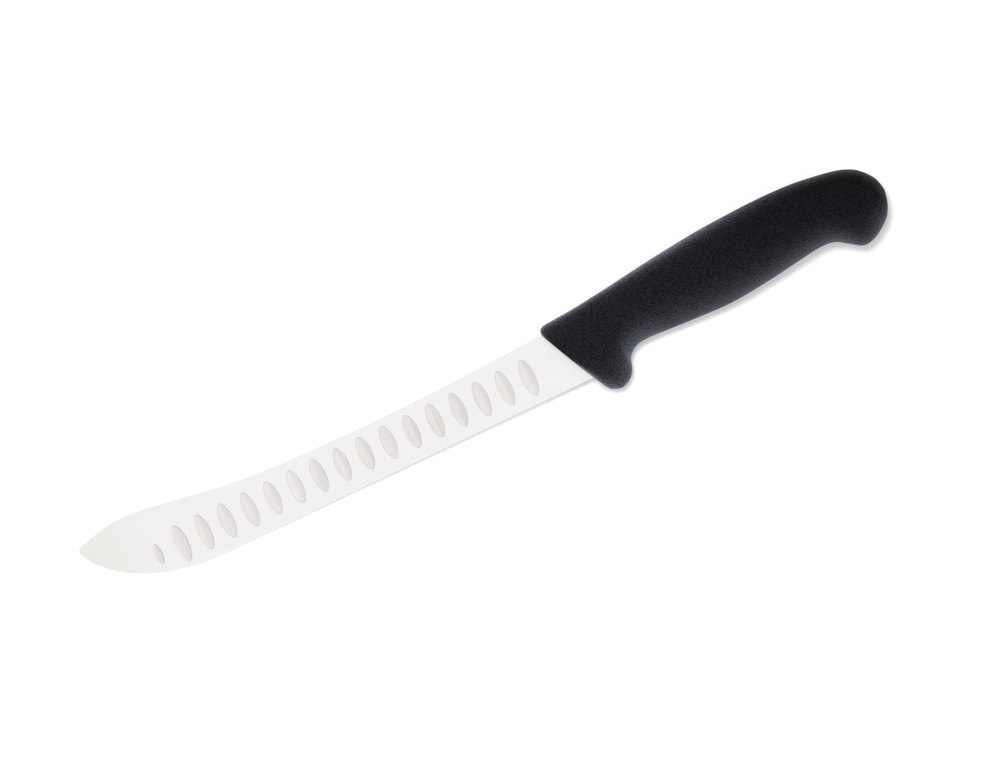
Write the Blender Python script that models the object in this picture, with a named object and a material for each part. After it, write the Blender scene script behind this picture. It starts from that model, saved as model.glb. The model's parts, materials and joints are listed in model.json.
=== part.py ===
"""A butcher's knife with a moulded handle, lying on its side the way it falls on a table.

Three pieces, as they are made: a ground steel blade with a hidden tang, a hard core moulded
through the tang's holes, and the grained grip moulded over the core.

Units are metres. Each piece is drawn in the knife's own frame and hangs from one empty:
  x runs from the tip of the blade (0) to the butt of the handle,
  y runs up from the line of the cutting edge (0) to the spine,
  z is the thickness, with the middle of the blade at 0.
The empty turns the knife to its resting place, with +Z up and the table at z = 0.
"""

import math

import bmesh
import bpy
import numpy as np
from mathutils import Matrix, Vector

# Fits
CLEARANCE = 0.0003  # between any two pieces that touch

# The blade seen from the side
BLADE_LENGTH = 0.210  # tip to heel, the 21 cm size of this pattern
TIP_HEIGHT = 0.0250  # the tip stands this far above the line of the edge
TIP_FLAT = 0.0006  # the tip is blunted by this much
NOSE_PLACE = 0.0207  # the spine is highest here, behind the tip
NOSE_HEIGHT = 0.0296
WAIST_PLACE = 0.117  # the spine is lowest here
WAIST_HEIGHT = 0.0212
HEEL_HEIGHT = 0.0239  # the blade's height at the handle
BELLY_LENGTH = 0.0565  # the curved front stretch of the edge
BELLY_ALONG_POWER = 2.5  # shape of that curve, a superellipse
BELLY_UP_POWER = 1.5

# The blade's thickness
BLANK_THICKNESS = 0.0023  # the steel it is ground from, also the spine at the handle
LAND_THICKNESS = 0.0005  # just behind the edge bevel, at the heel
THINNING = 0.0005  # each side loses this share of a length towards the tip
BEVEL_WIDTH = 0.0006  # the honed strip along the edge
LEAST_HALF = 0.00015  # half the thickness that the land keeps at the tip

# The hollows ground in both sides
HOLLOW_PITCH = 0.010
HOLLOW_WIDTH = 0.0058
HOLLOW_LENGTH = 0.0144  # in the middle of the row
HOLLOW_GAIN = 0.0016  # the outermost hollows are longer by this much
HOLLOW_DEPTH = 0.00035
HOLLOW_ROW_HEIGHT = 0.0117  # middle of the row above the edge line
HOLLOW_ROW_BOW = 0.0009  # the row's ends lie lower by this much
HOLLOW_HEEL_GAP = 0.0226  # from the heel to the middle of the last hollow
HOLLOW_TIP_GAP = 0.036  # the least from the tip to the middle of a full hollow
FIRST_HOLLOW_SHARE = 0.58  # the one nearest the tip is smaller by this share
HOLLOW_END_POWER = 1.75  # under 2, so that the ends of a hollow are a little pointed
HOLLOW_SEGMENTS = 20

# The tang, inside the handle
SHOULDER = 0.004  # full height of the blade runs on behind the heel by this much
TANG_LENGTH = 0.097  # from the heel to its round end
TANG_FRONT_HEIGHT = 0.015
TANG_END_HEIGHT = 0.011
TANG_OVERLAP = 0.0015  # the tang starts inside the blade by this much
TANG_HOLE_RADIUS = 0.003
TANG_HOLE_COUNT = 3
TANG_HOLE_FIRST = 0.025  # from the heel to the first hole
TANG_HOLE_PITCH = 0.027

# The core, a hard moulding round the tang
CORE_COVER = 0.009  # it ends this far behind the tang
CORE_POWER = 4.0  # its section is a rounded rectangle
CORE_RING_POINTS = 20
GRIP_WALL = 0.0042  # the grip over it, at the back and the belly
GRIP_SIDE_WALL = 0.0038  # and at the sides

# The grip
HANDLE_LENGTH = 0.1448  # front corner to butt
FRONT_REACH = 0.0113  # the upper front corner lies this far ahead of the heel
FRONT_LIP = 0.0008  # the front face ends this far above the blade's spine
FRONT_CORNER = 0.0032  # the back rises this far above the blade's spine
GUARD_DROP = 0.0085  # the guard hangs this far below the edge line
BACK_HEIGHT = 0.0352  # top of the arched back
BELLY_HEIGHT = 0.0030  # lowest point of the belly
BEAK_HEIGHT = 0.0010  # lowest point of the hooked butt
HOOK_LENGTH = 0.032  # the hooked butt takes this much of the handle
FRONT_THICKNESS = 0.0135
GUARD_THICKNESS = 0.0165
NECK_THICKNESS = 0.0155
GRIP_THICKNESS = 0.0240
BUTT_THICKNESS = 0.0215
UPPER_POWER = 3.4  # the back is squarer than
LOWER_POWER = 3.0  # the belly
RING_POINTS = 32
RIB_STEPS = 2  # sections made between two ribs of the outline
NECK_RIB = 7  # the rib behind the guard
HOOK_RIB = 13  # the rib where the hook begins

# What the pieces weigh, to find how the knife lies
STEEL_DENSITY = 7800.0
CORE_DENSITY = 1140.0
GRIP_DENSITY = 1050.0


def clear_scene():
    for old in list(bpy.data.objects):
        bpy.data.objects.remove(old, do_unlink=True)


def material(name, colour, roughness, metallic):
    made = bpy.data.materials.new(name)
    made.use_nodes = True
    shader = made.node_tree.nodes["Principled BSDF"]
    shader.inputs["Base Color"].default_value = (*colour, 1.0)
    shader.inputs["Roughness"].default_value = roughness
    shader.inputs["Metallic"].default_value = metallic
    return made


def curve_through(points, steps):
    """Points of a smooth curve through rows of numbers, with so many steps between two rows."""
    rows = np.array(points, float)
    ends = np.vstack([2 * rows[0] - rows[1], rows, 2 * rows[-1] - rows[-2]])
    found = []
    for before, here, there, after in zip(ends, ends[1:], ends[2:], ends[3:]):
        for step in range(steps):
            t = step / steps
            leave = (there - before) / 2
            arrive = (after - here) / 2
            bend = 3 * (there - here) - 2 * leave - arrive
            twist = 2 * (here - there) + leave + arrive
            found.append(here + t * (leave + t * (bend + t * twist)))
    found.append(rows[-1])
    return np.array(found)


def object_from(name, build, finish):
    """A named object from a bmesh, with faces out and one material."""
    bmesh.ops.recalc_face_normals(build, faces=build.faces)
    mesh = bpy.data.meshes.new(name)
    build.to_mesh(mesh)
    build.free()
    made = bpy.data.objects.new(name, mesh)
    bpy.context.collection.objects.link(made)
    if finish:
        mesh.materials.append(finish)
    return made


def cutter_from(name, build):
    made = object_from(name, build, None)
    made.hide_render = True
    made.display_type = "WIRE"
    return made


def boolean(target, tool, operation):
    step = target.modifiers.new(tool.name, "BOOLEAN")
    step.operation = operation
    step.solver = "EXACT"
    step.object = tool


def loft(rings):
    """A closed bmesh through rings of points, with a flat cap on each end."""
    build = bmesh.new()
    made = []
    for ring in rings:
        made.append([build.verts.new(point) for point in ring])
    count = len(made[0])
    for near, far in zip(made, made[1:]):
        for i in range(count):
            j = (i + 1) % count
            build.faces.new((near[i], near[j], far[j], far[i]))
    build.faces.new(made[0])
    build.faces.new(made[-1])
    return build


# The blade


def edge_height(x):
    """Height of the cutting edge above its straight line."""
    if x >= BELLY_LENGTH:
        return 0.0
    along = (1 - x / BELLY_LENGTH) ** BELLY_ALONG_POWER
    return (TIP_HEIGHT - TIP_FLAT / 2) * (1 - (1 - along) ** (1 / BELLY_UP_POWER))


def spine_curve():
    """The blade's upper outline, from the tip to the shoulder."""
    fall = NOSE_HEIGHT - WAIST_HEIGHT
    rise = HEEL_HEIGHT - WAIST_HEIGHT
    dip = WAIST_PLACE - NOSE_PLACE
    back = BLADE_LENGTH - WAIST_PLACE
    climb = NOSE_HEIGHT - TIP_HEIGHT
    return curve_through(
        [
            (0.0, TIP_HEIGHT + TIP_FLAT / 2),
            (0.05 * NOSE_PLACE, TIP_HEIGHT + 0.22 * climb),
            (0.22 * NOSE_PLACE, TIP_HEIGHT + 0.48 * climb),
            (0.60 * NOSE_PLACE, TIP_HEIGHT + 0.87 * climb),
            (NOSE_PLACE, NOSE_HEIGHT),
            (NOSE_PLACE + 0.10 * dip, NOSE_HEIGHT - 0.08 * fall),
            (NOSE_PLACE + 0.25 * dip, NOSE_HEIGHT - 0.36 * fall),
            (NOSE_PLACE + 0.42 * dip, NOSE_HEIGHT - 0.67 * fall),
            (NOSE_PLACE + 0.62 * dip, NOSE_HEIGHT - 0.88 * fall),
            (WAIST_PLACE, WAIST_HEIGHT),
            (WAIST_PLACE + 0.36 * back, WAIST_HEIGHT + 0.13 * rise),
            (WAIST_PLACE + 0.68 * back, WAIST_HEIGHT + 0.51 * rise),
            (BLADE_LENGTH, HEEL_HEIGHT),
            (BLADE_LENGTH + 2 * SHOULDER, HEEL_HEIGHT + 0.0003),
        ],
        8,
    )


def edge_curve():
    """The edge as points, from the tip to well behind the heel."""
    turns = np.linspace(0, math.pi / 2, 49)
    along = BELLY_LENGTH * (1 - np.cos(turns) ** (2 / BELLY_ALONG_POWER))
    curve = [(x, edge_height(x)) for x in along]
    return np.array([*curve, (2 * BLADE_LENGTH, 0.0)])


def distance_to(curve, x, y):
    """The shortest way from a point to a line of points."""
    start, end = curve[:-1], curve[1:]
    run = end - start
    point = np.array((x, y))
    share = ((point - start) * run).sum(1) / (run * run).sum(1)
    nearest = start + run * np.clip(share, 0, 1)[:, None]
    return float(np.sqrt(((point - nearest) ** 2).sum(1)).min())


def half_thickness(edge, x, y):
    """Half the blade at a place: flat sides that taper to the edge and, less, to the tip."""
    land = LAND_THICKNESS / 2
    slope = (BLANK_THICKNESS / 2 - land) / HEEL_HEIGHT
    away = distance_to(edge, x, y)
    flat = land - THINNING * (BLADE_LENGTH - x) + slope * away
    if away < BEVEL_WIDTH:
        return away / BEVEL_WIDTH * max(flat, LEAST_HALF)
    return max(flat, LEAST_HALF)


def blade_stations():
    """Places along the blade, close together where the edge curves."""
    turns = np.linspace(0, math.pi / 2, 17)
    belly = BELLY_LENGTH * (1 - np.cos(turns) ** (2 / BELLY_ALONG_POWER))
    straight = np.linspace(BELLY_LENGTH, BLADE_LENGTH + SHOULDER, 11)
    return [*belly, *straight[1:]]


def blade_rings(grow):
    """Sections of the blade, larger all round by grow: edge, bevel, sides and spine."""
    edge = edge_curve()
    spine = spine_curve()
    rings = []
    for x in blade_stations():
        low = edge_height(x)
        high = float(np.interp(x, spine[:, 0], spine[:, 1]))
        if x == 0.0:
            low = TIP_HEIGHT - TIP_FLAT / 2
        lean = (edge_height(x + 1e-5) - edge_height(max(x - 1e-5, 0))) / 2e-5
        bevel = min(BEVEL_WIDTH * math.hypot(1, lean), 0.3 * (high - low))
        rows = [low + bevel + (high - low - bevel) * share for share in (0, 0.3, 0.65, 1)]
        side = []
        for y in rows:
            side.append((y, half_thickness(edge, x, y) + grow))
        rows_up = [(x, y, z) for y, z in side]
        rows_up[-1] = (x, side[-1][0] + grow, side[-1][1])
        rows_down = [(px, py, -pz) for px, py, pz in reversed(rows_up)]
        if grow:
            keel = [(x, low - grow, -grow), (x, low - grow, grow)]
        else:
            keel = [(x, low, 0.0)]
        rings.append([*rows_up, *rows_down, *keel])
    return rings


def hollow_row():
    """Middle, length, width and depth of each hollow on the side that shows, from heel to tip."""
    last = BLADE_LENGTH - HOLLOW_HEEL_GAP
    count = 1 + int((last - HOLLOW_TIP_GAP) / HOLLOW_PITCH)
    half_row = (count - 1) / 2
    row = []
    for i in range(count + 1):
        out = min(1.0, (i - half_row) ** 2 / half_row**2)
        share = FIRST_HOLLOW_SHARE if i == count else 1.0
        x = last - i * HOLLOW_PITCH
        y = HOLLOW_ROW_HEIGHT - out * HOLLOW_ROW_BOW
        length = (HOLLOW_LENGTH + out * HOLLOW_GAIN) * share
        row.append((x, y, length, HOLLOW_WIDTH * share, HOLLOW_DEPTH * share))
    return row


def hollow_rows():
    """Each hollow with its side. The far side's row is set back by half a pitch."""
    shown = hollow_row()
    for place in shown:
        yield 1, *place
    for x, *rest in shown[1:]:
        yield -1, x + HOLLOW_PITCH / 2, *rest


def add_hollow(build, edge, side, x, y, length, width, depth):
    """A shallow dish that follows the blade's side, with a lid in the air above it."""
    rims = []
    for reach in (0.45, 0.8, 1.2):
        rim = []
        for i in range(HOLLOW_SEGMENTS):
            turn = 2 * math.pi * i / HOLLOW_SEGMENTS
            across = math.cos(turn)
            along = math.copysign(abs(math.sin(turn)) ** (2 / HOLLOW_END_POWER), math.sin(turn))
            px = x + reach * across * width / 2
            py = y + reach * along * length / 2
            pz = half_thickness(edge, px, py) - depth * (1 - reach**2)
            rim.append(build.verts.new((px, py, side * pz)))
        rims.append(rim)
    bottom = build.verts.new((x, y, side * (half_thickness(edge, x, y) - depth)))
    for i in range(HOLLOW_SEGMENTS):
        j = (i + 1) % HOLLOW_SEGMENTS
        build.faces.new((bottom, rims[0][i], rims[0][j]))
        for inner, outer in zip(rims, rims[1:]):
            build.faces.new((inner[i], outer[i], outer[j], inner[j]))
    build.faces.new(rims[-1])


def hollow_cutter():
    build = bmesh.new()
    edge = edge_curve()
    for place in hollow_rows():
        add_hollow(build, edge, *place)
    return cutter_from("hollow_cutter", build)


def handle_at(x):
    """Middle height, height and thickness of the handle, on straight lines from neck to hook."""
    ribs = grip_ribs()
    neck, hook = ribs[NECK_RIB], ribs[HOOK_RIB]
    share = (x - neck[0]) / (hook[0] - neck[0])
    at_neck, at_hook = (
        np.array(((low_y + high_y) / 2, high_y - low_y, thickness))
        for _, low_y, _, high_y, thickness in (neck, hook)
    )
    return at_neck + share * (at_hook - at_neck)


def tang_middle(x):
    """Height of the tang's middle line, which is the handle's."""
    return float(handle_at(x)[0])


def tang_plate(grow):
    """The tang as a flat plate with a round end, larger all round by grow."""
    root = BLADE_LENGTH + SHOULDER - TANG_OVERLAP - grow
    end = BLADE_LENGTH + TANG_LENGTH
    radius = TANG_END_HEIGHT / 2 + grow
    bend = end - TANG_END_HEIGHT / 2
    outline = [(root, tang_middle(root) - TANG_FRONT_HEIGHT / 2 - grow)]
    for i in range(13):
        turn = math.pi * (i / 12 - 0.5)
        outline.append((bend + radius * math.cos(turn), tang_middle(bend) + radius * math.sin(turn)))
    outline.append((root, tang_middle(root) + TANG_FRONT_HEIGHT / 2 + grow))
    half = BLANK_THICKNESS / 2 + grow
    return loft([[(x, y, z) for x, y in outline] for z in (-half, half)])


def tang_pins(radius, half):
    """A round bar through each of the tang's holes, as one cutter."""
    build = bmesh.new()
    for i in range(TANG_HOLE_COUNT):
        x = BLADE_LENGTH + TANG_HOLE_FIRST + i * TANG_HOLE_PITCH
        place = Matrix.Translation((x, tang_middle(x), 0))
        bmesh.ops.create_cone(
            build,
            cap_ends=True,
            segments=20,
            radius1=radius,
            radius2=radius,
            depth=2 * half,
            matrix=place,
        )
    return build


def make_blade(finish):
    blade = object_from("blade", loft(blade_rings(0.0)), finish)
    boolean(blade, cutter_from("tang_steel", tang_plate(0.0)), "UNION")
    holes = cutter_from("tang_holes", tang_pins(TANG_HOLE_RADIUS, BLANK_THICKNESS))
    boolean(blade, holes, "DIFFERENCE")
    boolean(blade, hollow_cutter(), "DIFFERENCE")
    return blade


# The core


def core_rings(grow):
    """Sections of the core, larger all round by grow, square to the blade's length."""
    front = BLADE_LENGTH + SHOULDER + CLEARANCE
    length = BLADE_LENGTH + TANG_LENGTH + CORE_COVER - front
    rings = []
    for share, size in ((0.0, 0.82), (0.04, 0.95), (0.12, 1.0), (0.88, 1.0), (0.96, 0.9), (1.0, 0.7)):
        x = front + share * length
        middle, height, thickness = handle_at(x)
        half_height = size * (height / 2 - GRIP_WALL) + grow
        half_side = size * (thickness / 2 - GRIP_SIDE_WALL) + grow
        if share == 0.0:
            x -= grow
        if share == 1.0:
            x += grow
        ring = []
        for i in range(CORE_RING_POINTS):
            turn = 2 * math.pi * i / CORE_RING_POINTS
            up = math.copysign(abs(math.sin(turn)) ** (2 / CORE_POWER), math.sin(turn))
            out = math.copysign(abs(math.cos(turn)) ** (2 / CORE_POWER), math.cos(turn))
            ring.append((x, middle + up * half_height, out * half_side))
        rings.append(ring)
    return rings


def make_core(finish):
    """The core fills the tang's holes, so its cavity is the tang less a post in each hole."""
    core = object_from("handle_core", loft(core_rings(0.0)), finish)
    cavity = cutter_from("tang_cavity", tang_plate(CLEARANCE))
    posts = cutter_from("core_posts", tang_pins(TANG_HOLE_RADIUS - CLEARANCE, 2 * BLANK_THICKNESS))
    boolean(cavity, posts, "DIFFERENCE")
    boolean(core, cavity, "DIFFERENCE")
    return core


# The grip


def grip_ribs():
    """Lower point, upper point and thickness of the sections that set the handle's outline."""
    heel = BLADE_LENGTH
    butt = heel - FRONT_REACH + HANDLE_LENGTH
    drop = -GUARD_DROP
    front_back = HEEL_HEIGHT + FRONT_CORNER
    arch = BACK_HEIGHT - front_back
    neck = heel + 0.021
    hook = butt - HOOK_LENGTH
    tall = BACK_HEIGHT - BEAK_HEIGHT

    def along(share):
        return neck + share * (hook - neck)

    def hook_rib(low_back, low_rise, high_back, high_fall, share):
        low = (butt - low_back * HOOK_LENGTH, BEAK_HEIGHT + low_rise * tall)
        high = (butt - high_back * HOOK_LENGTH, BACK_HEIGHT - high_fall * tall)
        return (*low, *high, share * BUTT_THICKNESS)

    guard = [
        (heel + 0.0014, 0.28 * drop, heel - FRONT_REACH, HEEL_HEIGHT + FRONT_LIP, FRONT_THICKNESS),
        (heel + 0.0029, 0.60 * drop, heel - 0.0091, front_back - 0.0006, 0.97 * GUARD_THICKNESS),
        (heel + 0.0051, 0.87 * drop, heel - 0.0045, front_back - 0.0002, GUARD_THICKNESS),
        (heel + 0.0087, drop, heel + 0.0028, front_back + 0.0003, GUARD_THICKNESS),
        (heel + 0.0122, 0.83 * drop, heel + 0.0090, front_back + 0.0009, 0.97 * GUARD_THICKNESS),
        (heel + 0.0151, 0.46 * drop, heel + 0.0140, front_back + 0.0015, NECK_THICKNESS),
        (heel + 0.0170, 0.0010, heel + 0.0174, front_back + 0.0019, 1.01 * NECK_THICKNESS),
    ]
    grip = [
        (neck, BELLY_HEIGHT + 0.0011, neck + 0.0004, front_back + 0.0024, 1.08 * NECK_THICKNESS),
        (along(0.08), BELLY_HEIGHT + 0.0017, along(0.08), front_back + 0.40 * arch, 0.76 * GRIP_THICKNESS),
        (along(0.27), BELLY_HEIGHT + 0.0007, along(0.27), front_back + 0.64 * arch, 0.88 * GRIP_THICKNESS),
        (along(0.50), BELLY_HEIGHT, along(0.50), front_back + 0.87 * arch, 0.97 * GRIP_THICKNESS),
        (along(0.72), BELLY_HEIGHT + 0.0016, along(0.72), front_back + 0.98 * arch, GRIP_THICKNESS),
        (along(0.87), BELLY_HEIGHT + 0.0033, along(0.87), BACK_HEIGHT, GRIP_THICKNESS),
        (hook, BELLY_HEIGHT + 0.0046, hook, BACK_HEIGHT - 0.0004, 0.97 * GRIP_THICKNESS),
    ]
    end = [
        hook_rib(0.81, 0.173, 0.79, 0.035, 1.04),
        hook_rib(0.65, 0.088, 0.625, 0.058, 1.0),
        hook_rib(0.506, 0.0, 0.469, 0.085, 0.99),
        hook_rib(0.363, 0.018, 0.334, 0.123, 0.93),
        hook_rib(0.225, 0.099, 0.2125, 0.181, 0.83),
        hook_rib(0.116, 0.196, 0.106, 0.275, 0.66),
        hook_rib(0.0375, 0.310, 0.0344, 0.377, 0.42),
        hook_rib(0.0, 0.4415, 0.0, 0.4942, 0.18),
    ]
    return [*guard, *grip, *end]


def grip_ring(low_x, low_y, high_x, high_y, thickness):
    """One section, standing on the line from its lower to its upper point."""
    ring = []
    for i in range(RING_POINTS):
        turn = 2 * math.pi * i / RING_POINTS
        up, out = math.sin(turn), math.cos(turn)
        power = 2 / (UPPER_POWER if up > 0 else LOWER_POWER)
        climb = (1 + math.copysign(abs(up) ** power, up)) / 2
        z = math.copysign(abs(out) ** power, out) * thickness / 2
        ring.append((low_x + climb * (high_x - low_x), low_y + climb * (high_y - low_y), z))
    return ring


def blade_slot():
    """The space that the blade's full height takes in the grip, open at the front."""
    rings = [ring for ring in blade_rings(CLEARANCE) if ring[0][0] > BLADE_LENGTH - 2 * FRONT_REACH]
    back = [(x + CLEARANCE, y, z) for x, y, z in rings[-1]]
    return loft([*rings[:-1], back])


def make_grip(finish):
    sections = curve_through(grip_ribs(), RIB_STEPS)
    grip = object_from("handle_grip", loft([grip_ring(*row) for row in sections]), finish)
    boolean(grip, cutter_from("blade_slot", blade_slot()), "DIFFERENCE")
    boolean(grip, cutter_from("tang_slot", tang_plate(CLEARANCE)), "DIFFERENCE")
    boolean(grip, cutter_from("core_cavity", loft(core_rings(CLEARANCE))), "DIFFERENCE")
    return grip


# How the knife lies


def solid_points(made):
    """Corner points and triangles of an object after its modifiers, in its own frame."""
    graph = bpy.context.evaluated_depsgraph_get()
    mesh = made.evaluated_get(graph).to_mesh()
    mesh.calc_loop_triangles()
    points = np.array([tuple(v.co) for v in mesh.vertices])
    faces = np.array([tuple(t.vertices) for t in mesh.loop_triangles])
    return points, faces


def mass_centre(parts):
    """Centre of mass of (points, triangles, density) solids."""
    total, moment = 0.0, np.zeros(3)
    for points, faces, density in parts:
        a, b, c = (points[faces[:, i]] for i in range(3))
        mass = density * (np.cross(a, b) * c).sum(1) / 6
        moment += (mass[:, None] * (a + b + c) / 4).sum(0)
        total += mass.sum()
    return Vector(moment / total)


def resting_face(points, centre):
    """Downward normal of the face of the convex hull that carries the centre of mass."""
    hull = bmesh.new()
    for point in points:
        hull.verts.new(point)
    bmesh.ops.convex_hull(hull, input=hull.verts, use_existing_faces=False)
    bmesh.ops.triangulate(hull, faces=hull.faces)
    best = Vector((0, 0, 1))
    for face in hull.faces:
        normal = face.normal.copy()
        if normal.dot(face.verts[0].co - centre) < 0:
            normal.negate()
        foot = centre + normal * normal.dot(face.verts[0].co - centre)
        corners = [vert.co - foot for vert in face.verts]
        sides = [corners[i].cross(corners[(i + 1) % 3]).dot(normal) for i in range(3)]
        inside = min(sides) >= 0 or max(sides) <= 0
        if inside and normal.z < best.z:
            best = normal
    hull.free()
    return best


def lay_down(parts, holder):
    """Turns and moves the holder so that the knife rests on z = 0, centred on the origin."""
    bpy.context.view_layer.update()
    solids = [(*solid_points(made), density) for made, density in parts]
    points = np.vstack([points for points, _, _ in solids])
    up = -resting_face(points, mass_centre(solids))
    along = (Vector((1, 0, 0)) - up * up.x).normalized()
    across = up.cross(along)
    turn = Matrix((along, across, up))
    laid = points @ np.array(turn).T
    low, high = laid.min(0), laid.max(0)
    middle = (low + high) / 2
    holder.matrix_world = Matrix.Translation((-middle[0], -middle[1], -low[2])) @ turn.to_4x4()


def main():
    clear_scene()
    steel = material("satin_steel", (0.78, 0.77, 0.76), 0.38, 1.0)
    hard_plastic = material("core_plastic", (0.05, 0.05, 0.055), 0.5, 0.0)
    grained_plastic = material("grained_plastic", (0.018, 0.018, 0.020), 0.55, 0.0)
    blade = make_blade(steel)
    core = make_core(hard_plastic)
    grip = make_grip(grained_plastic)
    for made in (blade, core, grip):
        made.data.shade_smooth()
        made.data.set_sharp_from_angle(angle=math.radians(30))
    holder = bpy.data.objects.new("knife", None)
    bpy.context.collection.objects.link(holder)
    densities = ((blade, STEEL_DENSITY), (core, CORE_DENSITY), (grip, GRIP_DENSITY))
    lay_down(densities, holder)
    for made in bpy.context.collection.objects:
        if made.type == "MESH":
            made.parent = holder


main()
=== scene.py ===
# %% [markdown]
# # A butcher's knife with a moulded handle
#
# The knife lies on its side on a white table, seen from straight above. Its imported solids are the
# fixed frame. The blade and the grip are modelled again over them, finer, and the hard core inside
# the grip stays as it is.

# %% Load the solids
import json
import math

import bmesh
import bpy
from mathutils import Matrix, Vector

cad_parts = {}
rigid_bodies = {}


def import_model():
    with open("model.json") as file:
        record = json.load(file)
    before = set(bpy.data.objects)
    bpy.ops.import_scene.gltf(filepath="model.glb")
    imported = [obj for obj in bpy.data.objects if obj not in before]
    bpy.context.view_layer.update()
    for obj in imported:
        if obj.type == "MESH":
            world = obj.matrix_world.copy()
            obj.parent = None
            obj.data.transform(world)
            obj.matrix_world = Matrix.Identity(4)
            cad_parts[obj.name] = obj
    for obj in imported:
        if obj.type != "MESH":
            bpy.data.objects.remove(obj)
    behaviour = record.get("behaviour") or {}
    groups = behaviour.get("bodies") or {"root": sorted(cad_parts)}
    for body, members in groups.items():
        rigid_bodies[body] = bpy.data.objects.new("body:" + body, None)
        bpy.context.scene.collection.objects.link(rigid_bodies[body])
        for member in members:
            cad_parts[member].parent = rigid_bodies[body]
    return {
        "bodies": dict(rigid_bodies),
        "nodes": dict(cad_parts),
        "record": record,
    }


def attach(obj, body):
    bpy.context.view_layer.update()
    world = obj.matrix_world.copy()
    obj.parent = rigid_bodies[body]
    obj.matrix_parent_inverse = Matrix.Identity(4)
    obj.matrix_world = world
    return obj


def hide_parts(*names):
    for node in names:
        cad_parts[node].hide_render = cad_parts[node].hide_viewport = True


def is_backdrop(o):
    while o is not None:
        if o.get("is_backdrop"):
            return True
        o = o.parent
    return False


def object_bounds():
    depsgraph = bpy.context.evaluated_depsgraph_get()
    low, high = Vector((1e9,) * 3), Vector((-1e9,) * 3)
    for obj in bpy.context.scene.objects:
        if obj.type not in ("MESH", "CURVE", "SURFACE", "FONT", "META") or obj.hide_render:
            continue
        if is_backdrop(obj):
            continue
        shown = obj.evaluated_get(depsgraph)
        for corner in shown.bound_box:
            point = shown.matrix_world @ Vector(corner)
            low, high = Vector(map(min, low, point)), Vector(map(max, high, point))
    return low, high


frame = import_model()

for other in set(bpy.data.objects) - set(frame["nodes"].values()) - set(frame["bodies"].values()):
    bpy.data.objects.remove(other)
cad_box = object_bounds()
print("solids from", [round(v, 4) for v in cad_box[0]], "to", [round(v, 4) for v in cad_box[1]])

# %% [markdown]
# ## The knife's own frame
#
# A knife is drawn best with x from the tip to the butt, y from the edge to the spine and z through
# the thickness. On the table it leans a little, on the belly of the tip and on the side of the
# handle. Two of the record's mounts give that lean. One lies on each flat of the blade, both at the
# same height of the drawing. So their axes give the way through the knife, and the way from one to
# the other, laid flat, gives the way along it. The upper one's place in the drawing fixes the rest.

# %% The knife's own frame, from the two flats
UPPER_FLAT = Vector((0.1324, 0.0115, 0.0006442544))

mounts = {mount["name"]: mount for mount in frame["record"]["mounts"]}
upper, under = mounts["blade_side_upper"], mounts["blade_side_under"]
through = (Vector(upper["axis"]) - Vector(under["axis"])).normalized()
between = Vector(upper["pos_m"]) - Vector(under["pos_m"])
along = (between - through * between.dot(through)).normalized()
across = through.cross(along)
to_table = Matrix((along, across, through)).transposed().to_4x4()
to_table.translation = Vector(upper["pos_m"]) - to_table.to_3x3() @ UPPER_FLAT
print("the knife leans", round(math.degrees(along.angle(Vector((1, 0, 0)))), 2), "degrees")

# %% [markdown]
# ## A few habits of the hand
#
# The pieces are made with the same operators as by hand. Each begins with nothing selected. An
# outline is drawn as with a pen: a plane is merged to one corner, and that corner is extruded from
# place to place and the loop filled.

# %% Selecting
def let_go():
    """Object mode, with nothing selected."""
    if bpy.context.mode != "OBJECT":
        bpy.ops.object.mode_set(mode="OBJECT")
    bpy.ops.object.select_all(action="DESELECT")


def take(piece, mode="OBJECT"):
    """One piece selected and active."""
    let_go()
    piece.select_set(True)
    bpy.context.view_layer.objects.active = piece
    bpy.ops.object.mode_set(mode=mode)


# %% Drawing and pushing out
def draw(name, corners):
    """A flat face through the corners, left in edit mode and selected."""
    let_go()
    bpy.ops.mesh.primitive_plane_add(size=0.01)
    piece = bpy.context.object
    piece.name = name
    bpy.ops.object.mode_set(mode="EDIT")
    bpy.ops.mesh.merge(type="CENTER")
    bpy.ops.transform.translate(value=corners[0])
    for here, there in zip(corners, corners[1:]):
        step = Vector(there) - Vector(here)
        bpy.ops.mesh.extrude_vertices_move(TRANSFORM_OT_translate={"value": step})
    bpy.ops.mesh.select_all(action="SELECT")
    bpy.ops.mesh.edge_face_add()
    return piece


def push_out(step):
    """The selected face extruded by a step."""
    bpy.ops.mesh.extrude_region_move(TRANSFORM_OT_translate={"value": step})


def face_out():
    bpy.ops.mesh.select_all(action="SELECT")
    bpy.ops.mesh.normals_make_consistent(inside=False)


# %% Counting triangles and open edges
def report(piece):
    mesh = piece.data
    mesh.calc_loop_triangles()
    build = bmesh.new()
    build.from_mesh(mesh)
    loose = sum(not edge.is_manifold for edge in build.edges)
    build.free()
    print(f"{piece.name}: {len(mesh.loop_triangles)} triangles, {loose} open edges")


# %% [markdown]
# ## The blade
#
# The blade is blanked from sheet with a blunted tip, a spine that rises to the nose and dips to a
# waist, a straight edge and a belly that sweeps up to the tip. Its sides are ground flat and thin
# evenly towards all of the edge, and a narrow bevel is honed on it. A plate with a bevelled edge
# would be equally thick everywhere, but here the section changes from place to place. So it is
# drawn once at the tip and extruded from station to station, and at each station its corners are
# set to the ground thickness there.

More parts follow.
